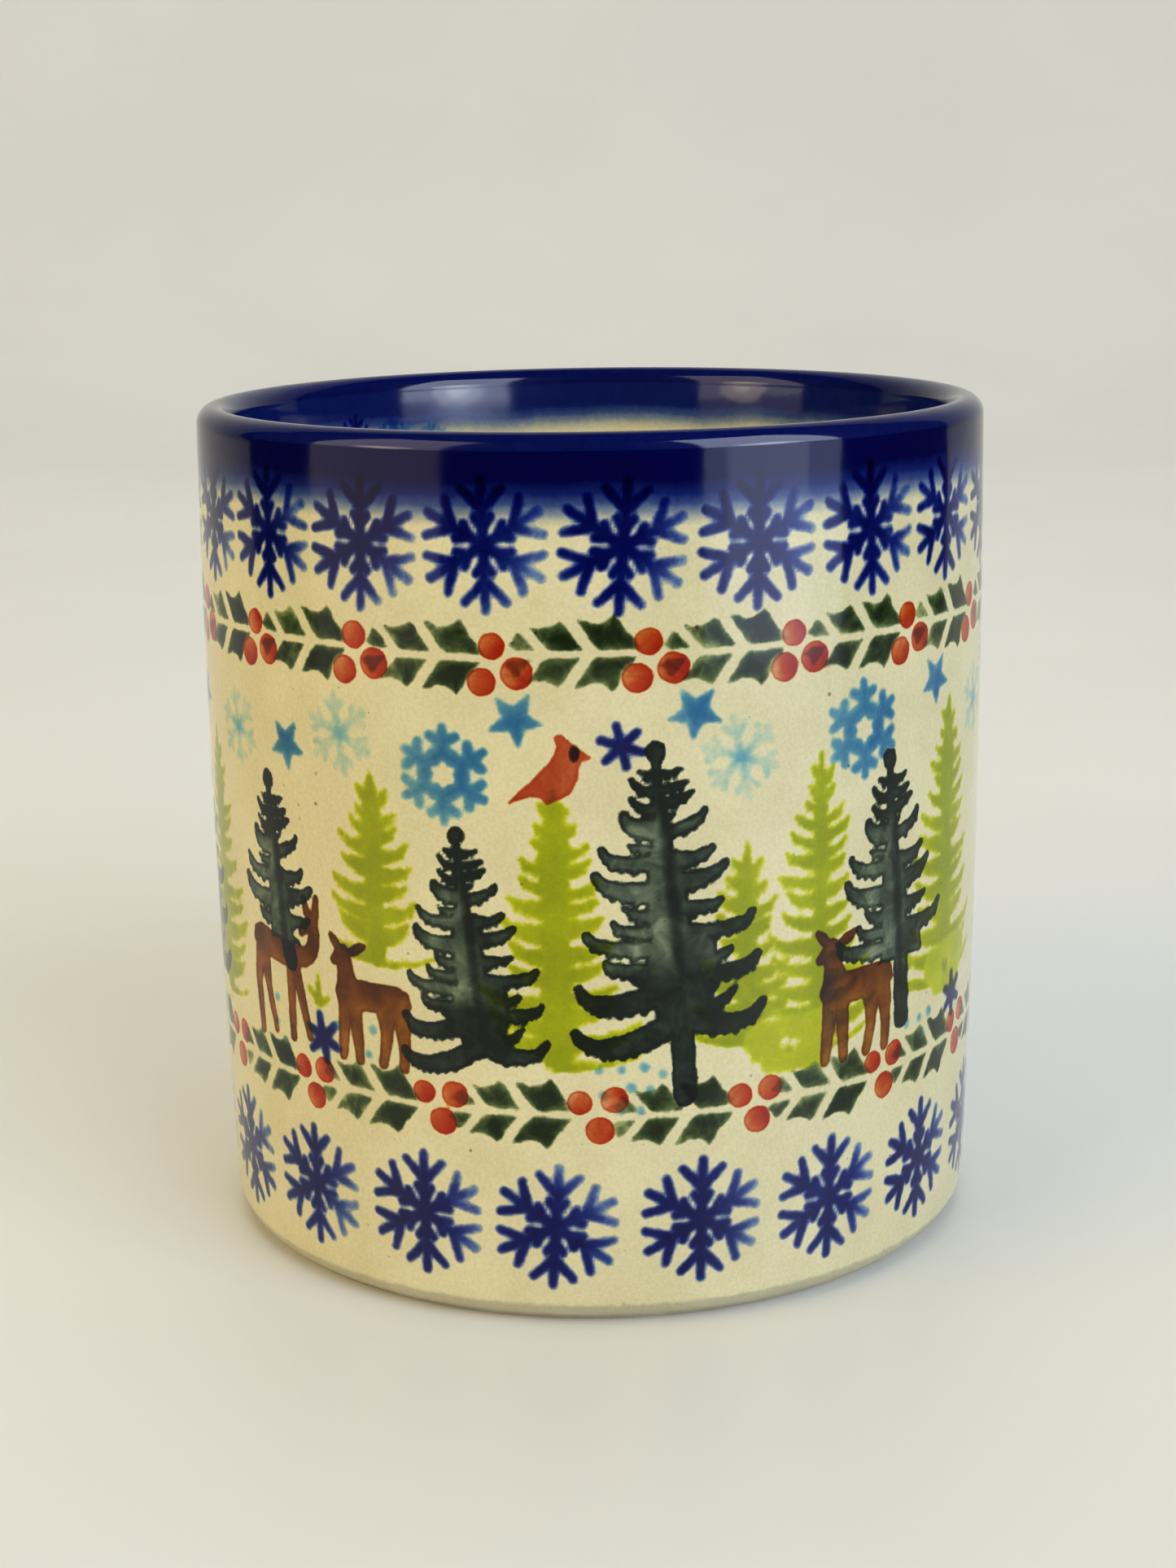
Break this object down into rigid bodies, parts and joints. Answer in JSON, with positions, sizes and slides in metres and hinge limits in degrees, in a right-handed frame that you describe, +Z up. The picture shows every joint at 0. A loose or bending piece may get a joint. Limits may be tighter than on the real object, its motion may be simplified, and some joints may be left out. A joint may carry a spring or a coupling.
{
  "type": "stoneware mug",
  "caption": "Straight-sided glazed stoneware mug with a dark rim band, a painted winter forest and a strap handle.",
  "frame": {"origin": "centre of the foot, on the plane the mug stands on", "axes": "+Z up along the cup's axis, +Y towards the handle, +X to the right seen from the side opposite the handle"},
  "size_m": [0.0906, 0.12, 0.0955],
  "materials": {
    "bare_clay": "matte, lightly sanded stoneware",
    "slip": "glazed over, satin",
    "decorated_glaze": "gloss, underglaze stamps in navy, green, red and brown",
    "cream_glaze": "gloss",
    "cobalt_glaze": "gloss",
    "handle_glaze": "gloss"
  },
  "bodies": {
    "root": {"stoneware_cup": "bare_clay", "strap_handle": "bare_clay", "upper_slip_joint": "slip", "lower_slip_joint": "slip", "outer_clear_glaze": "decorated_glaze", "inner_clear_glaze": "cream_glaze", "cobalt_rim_glaze": "cobalt_glaze", "handle_glaze": "handle_glaze"}
  },
  "joints": []
}
